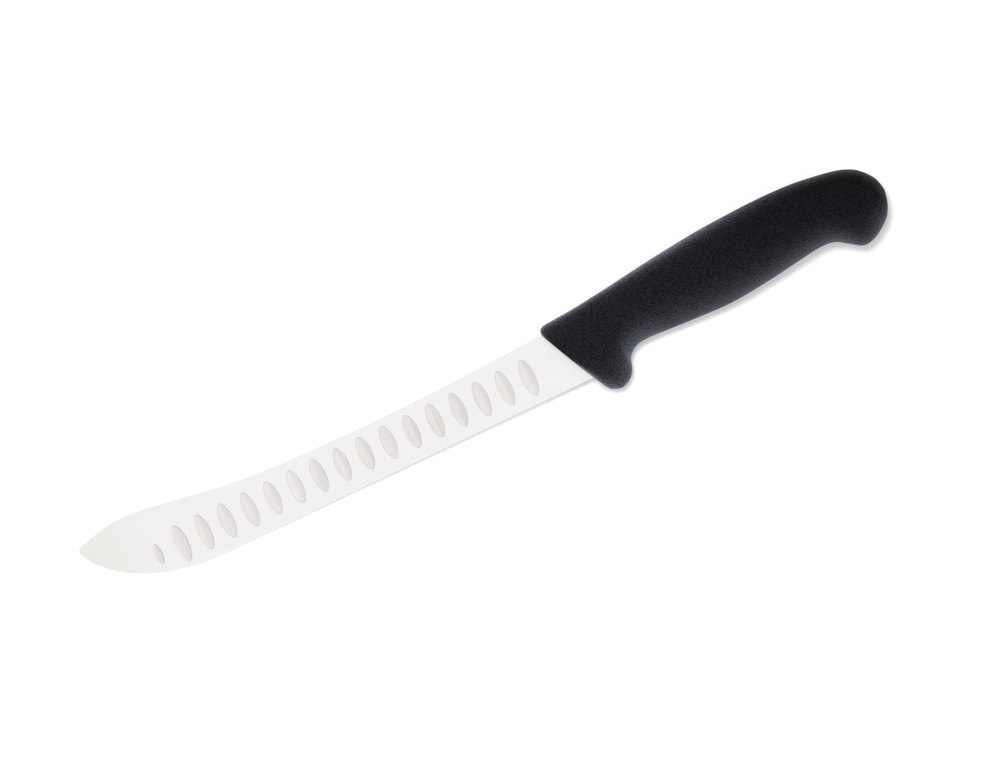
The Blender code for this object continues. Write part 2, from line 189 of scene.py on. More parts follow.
# %% Sizes of the blade
BLADE_LENGTH = 0.210
TIP_HEIGHT, TIP_FLAT = 0.0250, 0.0006
NOSE_PLACE, NOSE_HEIGHT = 0.0207, 0.0296
WAIST_PLACE, WAIST_HEIGHT = 0.117, 0.0212
HEEL_HEIGHT = 0.0239
SHOULDER, SHOULDER_RISE = 0.004, 0.0003
BELLY_LENGTH, BELLY_ALONG_POWER, BELLY_UP_POWER = 0.0565, 2.5, 1.5
BLANK_THICKNESS, LAND_THICKNESS = 0.0023, 0.0005
THINNING = 0.0005
BEVEL_WIDTH = 0.0006
LEAST_HALF = 0.00015
EDGE_LEFT = 0.00001
SPINE_ROUND = 0.00025

SLOPE = (BLANK_THICKNESS - LAND_THICKNESS) / 2 / HEEL_HEIGHT
print("each side leans", round(math.degrees(math.atan(SLOPE)), 2), "degrees towards the edge")


# %% The cutting edge and its belly
def edge_height(x):
    """Height of the cutting edge over the line of its straight part. The belly is a superellipse."""
    share = (1 - min(x / BELLY_LENGTH, 1)) ** BELLY_ALONG_POWER
    return (TIP_HEIGHT - TIP_FLAT / 2) * (1 - (1 - share) ** (1 / BELLY_UP_POWER))


def belly_places(steps):
    """Places along the belly, closer together where it turns up to the tip."""
    turns = [math.pi / 2 * i / steps for i in range(steps + 1)]
    return [BELLY_LENGTH * (1 - max(math.cos(turn), 0) ** (2 / BELLY_ALONG_POWER)) for turn in turns]


EDGE_STEPS = 48
edge_line = [Vector((x, edge_height(x))) for x in belly_places(EDGE_STEPS)]
edge_line.append(Vector((2 * BLADE_LENGTH, 0.0)))
print("the belly climbs", round(edge_height(0.0) * 1000, 1), "mm over", BELLY_LENGTH * 1000, "mm")


# %% A smooth curve through points
def through_points(rows, steps):
    """A smooth curve through rows of numbers, with so many steps between two rows.

    Each row is left and reached in the direction from the row before it to the row after it.
    """
    rows = [Vector(row) for row in rows]
    ends = [2 * rows[0] - rows[1], *rows, 2 * rows[-1] - rows[-2]]
    found = []
    for before, here, there, after in zip(ends, ends[1:], ends[2:], ends[3:]):
        leave = (there - before) / 2
        arrive = (after - here) / 2
        for i in range(steps):
            t = i / steps
            bend = 3 * (there - here) - 2 * leave - arrive
            twist = 2 * (here - there) + leave + arrive
            found.append(here + t * (leave + t * (bend + t * twist)))
    return [*found, rows[-1]]


# %% The spine
# Each stretch is given as shares of the way along it and of its rise or fall.
TIP_TO_NOSE = ((0.05, 0.22), (0.22, 0.48), (0.60, 0.87))
NOSE_TO_WAIST = ((0.0, 0.0), (0.10, 0.08), (0.25, 0.36), (0.42, 0.67), (0.62, 0.88), (1.0, 1.0))
WAIST_TO_HEEL = ((0.36, 0.13), (0.68, 0.51), (1.0, 1.0))
SPINE_STEPS = 8


def spine_points():
    climb, fall = NOSE_HEIGHT - TIP_HEIGHT, NOSE_HEIGHT - WAIST_HEIGHT
    rise, dip = HEEL_HEIGHT - WAIST_HEIGHT, WAIST_PLACE - NOSE_PLACE
    back = BLADE_LENGTH - WAIST_PLACE
    rows = [(0.0, TIP_HEIGHT + TIP_FLAT / 2)]
    rows += [(NOSE_PLACE * s, TIP_HEIGHT + climb * h) for s, h in TIP_TO_NOSE]
    rows += [(NOSE_PLACE + dip * s, NOSE_HEIGHT - fall * h) for s, h in NOSE_TO_WAIST]
    rows += [(WAIST_PLACE + back * s, WAIST_HEIGHT + rise * h) for s, h in WAIST_TO_HEEL]
    rows.append((BLADE_LENGTH + 2 * SHOULDER, HEEL_HEIGHT + SHOULDER_RISE))
    return through_points(rows, SPINE_STEPS)


spine_line = spine_points()


def spine_height(x):
    for here, there in zip(spine_line, spine_line[1:]):
        if x <= there.x:
            return here.y + (there.y - here.y) * (x - here.x) / (there.x - here.x)
    return spine_line[-1].y


print("the spine is highest at", round(max(point.y for point in spine_line) * 1000, 2), "mm")


# %% The ground thickness
def from_edge(x, y):
    """The shortest way from a point of the side to the edge."""
    spot = Vector((x, y))
    ways = []
    for here, there in zip(edge_line, edge_line[1:]):
        run = there - here
        share = min(max((spot - here).dot(run) / run.length_squared, 0), 1)
        ways.append((spot - here - run * share).length)
    return min(ways)


def half_thickness(x, y):
    """Half the blade at a point of its side: the ground flat, and the honed bevel below it."""
    away = from_edge(x, y)
    flat = LAND_THICKNESS / 2 - THINNING * (BLADE_LENGTH - x) + SLOPE * away
    flat = min(max(flat, LEAST_HALF), BLANK_THICKNESS / 2)
    return max(min(1, away / BEVEL_WIDTH) * flat, EDGE_LEFT)


heel_half = half_thickness(BLADE_LENGTH, HEEL_HEIGHT)
print("the heel's spine is", round(heel_half * 2000, 2), "mm thick")

# %% The section of the blade
HAIR = 1e-5
MOST_BEVEL, MOST_CROWN = 0.3, 0.2
MOST_ROUNDED = 0.9
CROWN_STEPS = 4
SIDE_SHARES = (0.12, 0.27, 0.45, 0.63, 0.82, 1.0)


def blade_section(x):
    """Corners of the section, up one side, over the rounded spine and down the other."""
    low, high = edge_height(x), spine_height(x)
    if x == 0:
        low, high = TIP_HEIGHT - TIP_FLAT / 2, TIP_HEIGHT + TIP_FLAT / 2
    lean = (edge_height(x + HAIR) - edge_height(max(x - HAIR, 0))) / (2 * HAIR)
    bevel = min(BEVEL_WIDTH * math.hypot(1, lean), MOST_BEVEL * (high - low))
    crown = min(SPINE_ROUND, MOST_CROWN * (high - low))
    side = [(low, EDGE_LEFT), (low + bevel, half_thickness(x, low + bevel))]
    for share in SIDE_SHARES:
        y = low + bevel + (high - crown - low - bevel) * share
        side.append((y, half_thickness(x, y)))
    shoulder = side[-1][1]
    for i in range(1, CROWN_STEPS):
        turn = math.pi / 2 * i / CROWN_STEPS
        y = high - crown * (1 - math.sin(turn))
        side.append((y, shoulder - min(crown, shoulder) * (1 - math.cos(turn))))
    side.append((high, shoulder - min(crown, MOST_ROUNDED * shoulder)))
    return [(x, y, z) for y, z in side] + [(x, y, -z) for y, z in reversed(side)]


print("a section has", len(blade_section(0)), "corners")

# %% Extrude the section from the tip to the shoulder
BELLY_STATIONS, STRAIGHT_STATIONS = 36, 40


def set_corners(piece, old, new):
    """Moves the selected corners, found at their old places, to new ones."""
    build = bmesh.from_edit_mesh(piece.data)
    free = [vert for vert in build.verts if vert.select]
    for before, after in zip(old, new):
        vert = min(free, key=lambda v: (v.co - Vector(before)).length_squared)
        free.remove(vert)
        vert.co = after
    bmesh.update_edit_mesh(piece.data)


shoulder_place = BLADE_LENGTH + SHOULDER
straight = shoulder_place - BELLY_LENGTH
stations = belly_places(BELLY_STATIONS)
stations += [BELLY_LENGTH + straight * i / STRAIGHT_STATIONS for i in range(1, STRAIGHT_STATIONS + 1)]

section = blade_section(0)
blade = draw("knife_blade", section)
for before, x in zip(stations, stations[1:]):
    push_out((x - before, 0, 0))
    pushed = [(x, corner[1], corner[2]) for corner in section]
    section = blade_section(x)
    set_corners(blade, pushed, section)
face_out()
let_go()
report(blade)

# %% [markdown]
# ## The tang
#
# Inside the handle the steel goes on as a narrow tang with a round end and three holes, which the
# core's posts fill. It is drawn and pushed out as the blank was, and joined with a Boolean.

# %% The outline of the tang
TANG_LENGTH, TANG_OVERLAP = 0.097, 0.0015
TANG_FRONT_HEIGHT, TANG_END_HEIGHT = 0.015, 0.011
NECK_MIDDLE, HOOK_MIDDLE = Vector((0.231, 0.0168)), Vector((0.3115, 0.0212))
ROUND_STEPS = 16


def handle_middle(x):
    share = (x - NECK_MIDDLE.x) / (HOOK_MIDDLE.x - NECK_MIDDLE.x)
    return NECK_MIDDLE.y + share * (HOOK_MIDDLE.y - NECK_MIDDLE.y)


root = shoulder_place - TANG_OVERLAP
end_radius = TANG_END_HEIGHT / 2
bend = BLADE_LENGTH + TANG_LENGTH - end_radius
tang_outline = [(root, handle_middle(root) - TANG_FRONT_HEIGHT / 2)]
for i in range(ROUND_STEPS + 1):
    turn = math.pi * (i / ROUND_STEPS - 0.5)
    x, y = bend + end_radius * math.cos(turn), handle_middle(bend) + end_radius * math.sin(turn)
    tang_outline.append((x, y))
tang_outline.append((root, handle_middle(root) + TANG_FRONT_HEIGHT / 2))
print("the tang's outline has", len(tang_outline), "corners")

# %% Join the tang and drill it
HOLE_RADIUS, HOLE_FIRST, HOLE_PITCH, HOLE_COUNT = 0.003, 0.025, 0.027, 3
HOLE_SIDES, DRILL_LENGTH = 40, 0.01


def cut(piece, tool, operation="DIFFERENCE"):
    """A Boolean with another piece, applied. The tool is used up."""
    take(piece)
    step = piece.modifiers.new("cut", "BOOLEAN")
    step.object = tool
    step.operation = operation
    step.solver = "EXACT"
    step.material_mode = "TRANSFER"
    bpy.ops.object.modifier_apply(modifier=step.name)
    bpy.data.objects.remove(tool)


tang = draw("tang", [(x, y, -BLANK_THICKNESS / 2) for x, y in tang_outline])
push_out((0, 0, BLANK_THICKNESS))
face_out()
cut(blade, tang, "UNION")

for i in range(HOLE_COUNT):
    x = BLADE_LENGTH + HOLE_FIRST + i * HOLE_PITCH
    place = (x, handle_middle(x), 0)
    let_go()
    bpy.ops.mesh.primitive_cylinder_add(
        vertices=HOLE_SIDES, radius=HOLE_RADIUS, depth=DRILL_LENGTH, location=place
    )
    cut(blade, bpy.context.object)
report(blade)

# %% [markdown]
# ## The hollows
#
# Rows of shallow hollows keep meat from sticking to the steel. Each is ground by a wheel that is
# lowered onto the flat, so its outline is where the wheel's rim meets the flat: long across the
# blade, narrow along it, and a little pointed because the rim is dressed to a slight ridge. The
# cutter is that piece of wheel, a rim section spun about the wheel's axle. One is made, and the
# others are copies, stretched to their length, leant with the flat and set at their place. Every
# hollow is cut twice. The first wheel is a little larger and much shallower, and what is left of
# its cut is a thin band round the hollow, painted grey as painted shade along its rim. The far
# side has a row as well, one hollow shorter and set half a pitch off.

# %% Sizes of the hollows
HOLLOW_PITCH = 0.010
HOLLOW_WIDTH, HOLLOW_LENGTH, HOLLOW_DEPTH = 0.0052, 0.0136, 0.00032
HOLLOW_GAIN = 0.0014
ROW_HEIGHT, ROW_BOW = 0.0115, 0.0008
HEEL_GAP, TIP_GAP = 0.0226, 0.036
FIRST_SHARE = 0.56
RIM_SHADE_WIDER, RIM_SHADE_LONGER, RIM_SHADE_SHALLOWER = 1.045, 1.025, 0.3


def hollow_row():
    """Place, length and size share of each hollow on the side that shows, from heel to tip."""
    last = BLADE_LENGTH - HEEL_GAP
    count = 1 + int((last - TIP_GAP) / HOLLOW_PITCH)
    half_row = (count - 1) / 2
    for i in range(count + 1):
        out = min(1.0, (i - half_row) ** 2 / half_row**2)
        length = HOLLOW_LENGTH + out * HOLLOW_GAIN
        share = FIRST_SHARE if i == count else 1.0
        yield last - i * HOLLOW_PITCH, ROW_HEIGHT - out * ROW_BOW, length, share


print("hollows on the side that shows:", len(list(hollow_row())))

# %% Spin one piece of the wheel
# Without a window, rotation counts the other way round.
TURN = -1.0 if bpy.app.background else 1.0
RIM_POWER, RIM_REACH, RIM_STEPS = 1.75, 1.25, 12
WHEEL_TOP = 0.0008
SWEEP_REACH, SWEEP_STEPS = 1.3, 40

rim = []
for i in range(-RIM_STEPS, RIM_STEPS + 1):
    share = RIM_REACH * i / RIM_STEPS
    rim.append((share * HOLLOW_WIDTH / 2, 0.0, HOLLOW_DEPTH * (abs(share) ** RIM_POWER - 1)))
rim += [(rim[-1][0], 0.0, WHEEL_TOP), (rim[0][0], 0.0, WHEEL_TOP)]
wheel_radius = (HOLLOW_LENGTH / 2) ** 2 / (2 * HOLLOW_DEPTH)
axle = (0.0, 0.0, wheel_radius - HOLLOW_DEPTH)
sweep = 2 * math.asin(SWEEP_REACH * HOLLOW_LENGTH / 2 / wheel_radius)

wheel = draw("wheel", rim)
bpy.ops.mesh.select_all(action="SELECT")
bpy.ops.transform.rotate(value=TURN * -sweep / 2, orient_axis="X", center_override=axle)
bpy.ops.mesh.spin(steps=SWEEP_STEPS, angle=-sweep, center=axle, axis=(1, 0, 0))
face_out()
let_go()
report(wheel)
low = [min(v.co[i] for v in wheel.data.vertices) for i in range(3)]
high = [max(v.co[i] for v in wheel.data.vertices) for i in range(3)]
print("the wheel's piece, mm", [round(v * 1000, 2) for v in low], [round(v * 1000, 2) for v in high])


# %% Copy it along both rows
def lower_wheel(side, x, y, length, share, wider=1.0, longer=1.0, shallower=1.0):
    """A copy of the wheel's piece, leant with the flat and lowered onto it, side -1 from below."""
    step = 1e-4
    lean = (half_thickness(x, y + step) - half_thickness(x, y - step)) / (2 * step)
    take(wheel)
    bpy.ops.object.duplicate()
    copy = bpy.context.object
    copy.scale = (share * wider, share * longer * length / HOLLOW_LENGTH, side * share * shallower)
    copy.rotation_euler = (side * math.atan(lean), 0, 0)
    copy.location = (x, y, side * half_thickness(x, y))
    bpy.ops.object.transform_apply(location=True, rotation=True, scale=True)
    return copy


def both_rows(*scales):
    """Copies of the wheel's piece for every hollow of both sides, joined."""
    copies = []
    for i, (x, y, length, share) in enumerate(hollow_row()):
        copies.append(lower_wheel(1, x, y, length, share, *scales))
        if i:
            copies.append(lower_wheel(-1, x + HOLLOW_PITCH / 2, y, length, share, *scales))
    let_go()
    for copy in copies:
        copy.select_set(True)
    bpy.context.view_layer.objects.active = copies[0]
    bpy.ops.object.join()
    joined = bpy.context.object
    take(joined, "EDIT")
    face_out()
    let_go()
    print(len(copies), "wheels,", len(joined.data.polygons), "faces")
    return joined


# The larger, shallower wheels leave the band round each hollow that is painted darker as shade along its
# rim.
rim_shade_wheels = both_rows(RIM_SHADE_WIDER, RIM_SHADE_LONGER, RIM_SHADE_SHALLOWER)
wheels = both_rows()
bpy.data.objects.remove(wheel)

# %% [markdown]
# ## Steel
#
# All of the blade is the same pale stainless steel, but each grinding step leaves its own face. The
# flats have a fine satin with lines across the blade, a trace greener at the very tip. The wheel
# leaves streaks along each hollow. The hollows' floor is painted greyer, as painted shade in the
# hollows, and the band round each is painted darker still, as painted shade along their rims. The
# honed bevel is the brightest. The spine is only linished. A picture of ground steel would repeat
# and blur, so each finish is a noise instead, stretched along its lines where it has any. The
# noise sets a little of the colour and the roughness, and a shallow bump.

# %% Helpers for every material
def node(tree, kind, **settings):
    """A new node. Settings with a socket's name go to its value, others to the node itself."""
    made = tree.nodes.new(kind)
    for key, value in settings.items():
        if key in made.inputs:
            made.inputs[key].default_value = value
        else:
            setattr(made, key, value)
    return made


def new_material(name):
    made = bpy.data.materials.new(name)
    made.use_nodes = True
    tree = made.node_tree
    return made, tree, tree.nodes["Principled BSDF"], node(tree, "ShaderNodeTexCoord")


def rescaled(tree, value, start, end, low=0.0, high=1.0, ease="LINEAR"):
    """A value that goes from low to high while the given one goes from start to end."""
    made = node(tree, "ShaderNodeMapRange", interpolation_type=ease)
    for key, number in (("From Min", start), ("From Max", end), ("To Min", low), ("To Max", high)):
        made.inputs[key].default_value = number
    tree.links.new(value, made.inputs["Value"])
    return made.outputs["Result"]


def mixed(tree, share, first, second, blend="MIX"):
    """A colour between two, each given as three numbers or as another node's output."""
    made = node(tree, "ShaderNodeMix", data_type="RGBA", blend_type=blend)
    tree.links.new(share, made.inputs["Factor"])
    for key, colour in (("A", first), ("B", second)):
        if isinstance(colour, tuple):
            made.inputs[key].default_value = (*colour, 1)
        else:
            tree.links.new(colour, made.inputs[key])
    return made.outputs["Result"]


# %% A steel finish from a stretched noise
NOSE_TIP, NOSE_BACK = -0.168, -0.146
NOSE_TINT, PLAIN = (0.955, 0.960, 0.930), (1.0, 1.0, 1.0)
CLOUD_SCALE, CLOUD_SHARE = 28.0, 0.35
NOISE_LOW, NOISE_HIGH = 0.38, 0.95
LINE_RELIEF = 0.35


def steel(name, dark, pale, rough, stretch, depth, nose=PLAIN):
    """A ground steel. stretch says how often its lines repeat in a metre, along x, y and z.

    rough has its least and its most roughness, depth the height of its lines.
    """
    made, tree, shader, place = new_material(name)
    link = tree.links.new
    shader.inputs["Metallic"].default_value = 1.0
    lines = node(tree, "ShaderNodeMapping", Scale=stretch)
    fine = node(tree, "ShaderNodeTexNoise", Scale=1.0, Detail=6.0, Roughness=0.65)
    broad = node(tree, "ShaderNodeTexNoise", Scale=CLOUD_SCALE, Detail=2.0)
    both = node(tree, "ShaderNodeMath", operation="MULTIPLY_ADD")
    both.inputs[1].default_value = CLOUD_SHARE
    link(place.outputs["Object"], lines.inputs["Vector"])
    link(place.outputs["Object"], broad.inputs["Vector"])
    link(lines.outputs["Vector"], fine.inputs["Vector"])
    link(broad.outputs["Fac"], both.inputs[0])
    link(fine.outputs["Fac"], both.inputs[2])
    tone = rescaled(tree, both.outputs["Value"], NOISE_LOW, NOISE_HIGH)
    colour = mixed(tree, tone, dark, pale)

    spot = node(tree, "ShaderNodeSeparateXYZ")
    link(place.outputs["Object"], spot.inputs["Vector"])
    near_tip = rescaled(tree, spot.outputs["X"], NOSE_BACK, NOSE_TIP)
    tinted = mixed(tree, near_tip, colour, nose, "MULTIPLY")
    polish = rescaled(tree, tone, 0.0, 1.0, rough[1], rough[0])
    relief = node(tree, "ShaderNodeBump", Strength=LINE_RELIEF, Distance=depth)
    link(fine.outputs["Fac"], relief.inputs["Height"])
    link(tinted, shader.inputs["Base Color"])
    link(polish, shader.inputs["Roughness"])
    link(relief.outputs["Normal"], shader.inputs["Normal"])
    return made


# %% The five steel finishes
ground_steel = steel(
    "ground_steel", dark=(0.898, 0.886, 0.879), pale=(0.941, 0.929, 0.921), rough=(0.30, 0.38),
    stretch=(4500, 120, 120), depth=4e-6, nose=NOSE_TINT,
)
honed_steel = steel(
    "honed_steel", dark=(0.90, 0.90, 0.89), pale=(0.96, 0.96, 0.95), rough=(0.16, 0.26),
    stretch=(5200, 900, 900), depth=2e-6,
)
spine_steel = steel(
    "spine_steel", dark=(0.76, 0.755, 0.75), pale=(0.88, 0.875, 0.87), rough=(0.30, 0.42),
    stretch=(160, 5200, 5200), depth=5e-6,
)
# Painted shade: the hollows' floor is painted greyer than the flats, for the shade in them. Its streaks
# are the wheel's.
hollow_steel_and_shade = steel(
    "hollow_steel_and_shade", dark=(0.70, 0.67, 0.66), pale=(0.915, 0.888, 0.876), rough=(0.26, 0.40),
    stretch=(2500, 60, 60), depth=8e-6,
)
# Painted shade: the band round each hollow is painted darker, for the shade along its rim.
rim_shade_steel = steel(
    "rim_shade_steel", dark=(0.54, 0.52, 0.51), pale=(0.68, 0.66, 0.65), rough=(0.24, 0.36),
    stretch=(1200, 1200, 1200), depth=3e-6,
)
finishes = (ground_steel, honed_steel, spine_steel, hollow_steel_and_shade, rim_shade_steel)
print("steel finishes:", [finish.name for finish in finishes])

# %% Give each face of the blade its finish, and grind the hollows
GROUND, HONED, SPINE = 0, 1, 2
FLAT_FACING = 0.99
SMOOTH_UNDER = math.radians(24)


def crisp_rim(piece, slot):
    """Marks the rim of all the faces of one finish as sharp."""
    take(piece, "EDIT")
    bpy.ops.mesh.select_mode(type="FACE")
    bpy.ops.mesh.select_all(action="DESELECT")
    piece.active_material_index = slot
    bpy.ops.object.material_slot_select()
    bpy.ops.mesh.region_to_loop()
    bpy.ops.mesh.mark_sharp()
    bpy.ops.mesh.select_mode(type="VERT")
    let_go()


blade.data.materials.clear()
for finish in (ground_steel, honed_steel, spine_steel):
    blade.data.materials.append(finish)
for face in blade.data.polygons:
    middle = face.center
    face.material_index = GROUND
    if from_edge(middle.x, middle.y) < BEVEL_WIDTH and middle.x < shoulder_place:
        face.material_index = HONED
    elif abs(face.normal.z) < FLAT_FACING:
        face.material_index = SPINE
rim_shade_wheels.data.materials.append(rim_shade_steel)
cut(blade, rim_shade_wheels)
wheels.data.materials.append(hollow_steel_and_shade)
cut(blade, wheels)
take(blade)
bpy.ops.object.shade_smooth_by_angle(angle=SMOOTH_UNDER, keep_sharp_edges=True)
for slot in range(len(blade.data.materials)):
    crisp_rim(blade, slot)
report(blade)
print("finishes on the blade:", [material.name for material in blade.data.materials])

# %% [markdown]
# ## The grip
#
# The grip is moulded in one piece: a finger guard, a slim neck, a fuller palm with an arched back,
# and a butt that hooks down to keep the hand on. A smoothed block would only come near this
# outline, so the grip is made of sections. They are superellipses that stand across the handle and
# lean with its outline. Their upper half is squarish and fills the palm. Their lower half is
# rounder, and tapers at the guard, where the fingers run round it. The first section is drawn at
# the front, and every next one is pushed out of it, stood up, stretched to its height and
# thickness, and leant again. At last its corners are set to its own roundness.

# %% Sizes of the grip
HANDLE_LENGTH, FRONT_REACH = 0.1448, 0.0113
NECK_BEHIND, HOOK_LENGTH = 0.021, 0.032
GUARD_DROP, FRONT_BACK = 0.0085, 0.0271
BELLY_HEIGHT, BACK_HEIGHT, BEAK_HEIGHT = 0.0030, 0.0352, 0.0010
GUARD_THICKNESS, GRIP_THICKNESS, BUTT_THICKNESS = 0.0165, 0.0240, 0.0215
PALM_POWER = 2.05

heel = BLADE_LENGTH
butt = heel - FRONT_REACH + HANDLE_LENGTH
neck, hook = heel + NECK_BEHIND, butt - HOOK_LENGTH
print("the neck lies", round(neck * 1000, 1), "mm and the butt", round(butt * 1000, 1), "mm from the tip")


# %% Sections of the guard
# Each section has a lower point, an upper point, a thickness and the roundness of its lower half.
def guard_ribs():
    """Rows of a lower point, behind the heel and up, and an upper one, behind it and over the front."""
    drop = -GUARD_DROP
    ribs = []
    for low_x, low_y, high_x, high_y, thick, power in (
        (0.0011, 0.20 * drop, -0.0107, -0.0038, 0.945, 1.35),
        (0.0014, 0.26 * drop, -0.0109, -0.0031, 0.97, 1.4),
        (0.0018, 0.35 * drop, -0.0108, -0.0024, 0.985, 1.45),
        (0.0023, 0.46 * drop, -0.0105, -0.0016, 0.993, 1.5),
        (0.0029, 0.60 * drop, -0.0098, -0.0010, 0.997, 1.6),
        (0.0038, 0.74 * drop, -0.0083, -0.0005, 1.0, 1.7),
        (0.0051, 0.87 * drop, -0.0045, -0.0002, 1.0, 1.75),
        (0.0087, 1.00 * drop, 0.0028, 0.0003, 1.0, 1.7),
        (0.0124, 0.83 * drop, 0.0090, 0.0009, 0.97, 1.5),
        (0.0152, 0.46 * drop, 0.0140, 0.0015, 0.94, 1.4),
        (0.0170, 0.0010, 0.0174, 0.0019, 0.95, 1.5),
        (NECK_BEHIND, BELLY_HEIGHT + 0.0010, 0.0214, 0.0024, 1.015, 1.55),
    ):
        rise = FRONT_BACK + high_y
        ribs.append((heel + low_x, low_y, heel + high_x, rise, thick * GUARD_THICKNESS, power))
    return ribs


print("sections of the guard:", len(guard_ribs()))


# %% Sections of the palm
def palm_ribs():
    """Rows of a share of the way from neck to hook, the belly's rise and the share of the arch."""
    arch = BACK_HEIGHT - FRONT_BACK
    ribs = []
    for share, low_rise, high_share, thick, power in (
        (0.08, 0.0016, 0.40, 0.76, 1.6),
        (0.27, 0.0007, 0.64, 0.88, 1.7),
        (0.50, 0.0, 0.87, 0.97, 1.85),
        (0.72, 0.0016, 0.98, 1.0, 1.95),
        (0.87, 0.0033, 1.0, 1.0, PALM_POWER),
        (1.0, 0.0046, 0.95, 0.97, PALM_POWER),
    ):
        x = neck + share * (hook - neck)
        rise = FRONT_BACK + high_share * arch
        ribs.append((x, BELLY_HEIGHT + low_rise, x, rise, thick * GRIP_THICKNESS, power))
    return ribs


print("sections of the palm:", len(palm_ribs()))


# %% Sections of the butt
def butt_ribs():
    """Rows of shares: of the hook's length before its end, and of the height from beak to back."""
    tall = BACK_HEIGHT - BEAK_HEIGHT
    ribs = []
    for low_back, low_rise, high_back, high_fall, thick in (
        (0.81, 0.173, 0.79, 0.035, 1.04),
        (0.665, 0.087, 0.625, 0.058, 1.0),
        (0.515, 0.0, 0.469, 0.085, 0.99),
        (0.363, 0.018, 0.334, 0.123, 0.93),
        (0.222, 0.095, 0.2125, 0.181, 0.83),
        (0.108, 0.190, 0.106, 0.275, 0.66),
        (0.0375, 0.310, 0.0344, 0.377, 0.42),
        (0.0, 0.4415, 0.0, 0.4942, 0.18),
    ):
        low = (butt - low_back * HOOK_LENGTH, BEAK_HEIGHT + low_rise * tall)
        high = (butt - high_back * HOOK_LENGTH, BACK_HEIGHT - high_fall * tall)
        ribs.append((*low, *high, thick * BUTT_THICKNESS, PALM_POWER))
    return ribs


print("sections of the butt:", len(butt_ribs()))

# %% A section as a ring of corners
UPPER_POWER = 2.8
RING_POINTS = 64
RIB_STEPS = 5
# The solids have flat facets. The finer surface bulges between them, so it is drawn in by this.
SKIN = 0.00007


def section_ring(low_x, low_y, high_x, high_y, thickness, lower_power):
    ring = []
    for i in range(RING_POINTS):
        turn = 2 * math.pi * i / RING_POINTS
        up, out = math.sin(turn), math.cos(turn)
        power = 2 / (UPPER_POWER if up > 0 else lower_power)
        climb = (1 + math.copysign(abs(up) ** power, up)) / 2
        z = math.copysign(abs(out) ** power, out) * thickness / 2
        ring.append((low_x + climb * (high_x - low_x), low_y + climb * (high_y - low_y), z))
    return ring


def drawn_in(low_x, low_y, high_x, high_y, thickness, power):
    return low_x, low_y, high_x, high_y - SKIN, thickness - 2 * SKIN, power


ribs = through_points(guard_ribs() + palm_ribs() + butt_ribs(), RIB_STEPS)
ribs = [drawn_in(*rib) for rib in ribs]
print("sections:", len(ribs))


# %% Push the sections out, one after another
def stance(rib):
    """Middle, height and lean of a section."""
    low, high = Vector((rib[0], rib[1], 0)), Vector((rib[2], rib[3], 0))
    rise = high - low
    return (low + high) / 2, rise.length, math.atan2(-rise.x, rise.y)


grip = draw("knife_grip", section_ring(*ribs[0]))
for now, then in zip(ribs, ribs[1:]):
    middle, tall, lean = stance(now)
    next_middle, next_tall, next_lean = stance(then)
    push_out(next_middle - middle)
    bpy.ops.transform.rotate(value=-TURN * lean, orient_axis="Z", center_override=next_middle)
    stretch = (1, next_tall / tall, then[4] / now[4])
    bpy.ops.transform.resize(value=stretch, center_override=next_middle)
    bpy.ops.transform.rotate(value=TURN * next_lean, orient_axis="Z", center_override=next_middle)
    set_corners(grip, section_ring(*then[:5], now[5]), section_ring(*then))
end = [vert.co.copy() for vert in bmesh.from_edit_mesh(grip.data).verts if vert.select]
wanted = [Vector(point) for point in section_ring(*ribs[-1])]
drift = max(min((point - spot).length for spot in end) for point in wanted)
print("drift at the butt, mm:", round(drift * 1000, 4))
face_out()
let_go()
report(grip)

# %% [markdown]
# ## Seats inside the grip
#
# The grip is moulded onto the steel and the core, so it has a slot for the blade's root and a
# chamber for the core. The slot is cut with a copy of the blade, a hair larger, and the chamber
# with the hull of the core's own solid. Both are hidden, but the slot's rim shows where the blade
# goes in.

# %% Lay both pieces on the table, and cut the slot
SLOT_FRONT = BLADE_LENGTH - 0.02
SLOT_GAP = 0.00006


def lay(piece):
    take(piece)
    piece.matrix_world = to_table
    bpy.ops.object.transform_apply(location=True, rotation=True, scale=True)


front = blade_section(SLOT_FRONT)
slot_tool = draw("slot_tool", front)
push_out((shoulder_place - SLOT_FRONT, 0, 0))
set_corners(slot_tool, [(shoulder_place, y, z) for _, y, z in front], blade_section(shoulder_place))
face_out()
bpy.ops.transform.shrink_fatten(value=SLOT_GAP)
for piece in (blade, grip, slot_tool):
    lay(piece)
cut(grip, slot_tool)
report(grip)

# %% Cut the chamber for the core
CHAMBER_GAP = 0.0002
GRIP_SMOOTH_UNDER = math.radians(40)

core = frame["nodes"]["handle_core"]
take(core)
bpy.ops.object.duplicate()
chamber_tool = bpy.context.object
chamber_tool.parent = None
for key in list(chamber_tool.keys()):
    del chamber_tool[key]
chamber_tool.data.materials.clear()
take(chamber_tool, "EDIT")
bpy.ops.mesh.select_all(action="SELECT")
bpy.ops.mesh.remove_doubles(threshold=1e-6)
bpy.ops.mesh.convex_hull()
face_out()
bpy.ops.transform.shrink_fatten(value=CHAMBER_GAP)
cut(grip, chamber_tool)
take(grip)
bpy.ops.object.shade_smooth_by_angle(angle=GRIP_SMOOTH_UNDER, keep_sharp_edges=True)
report(grip)
let_go()

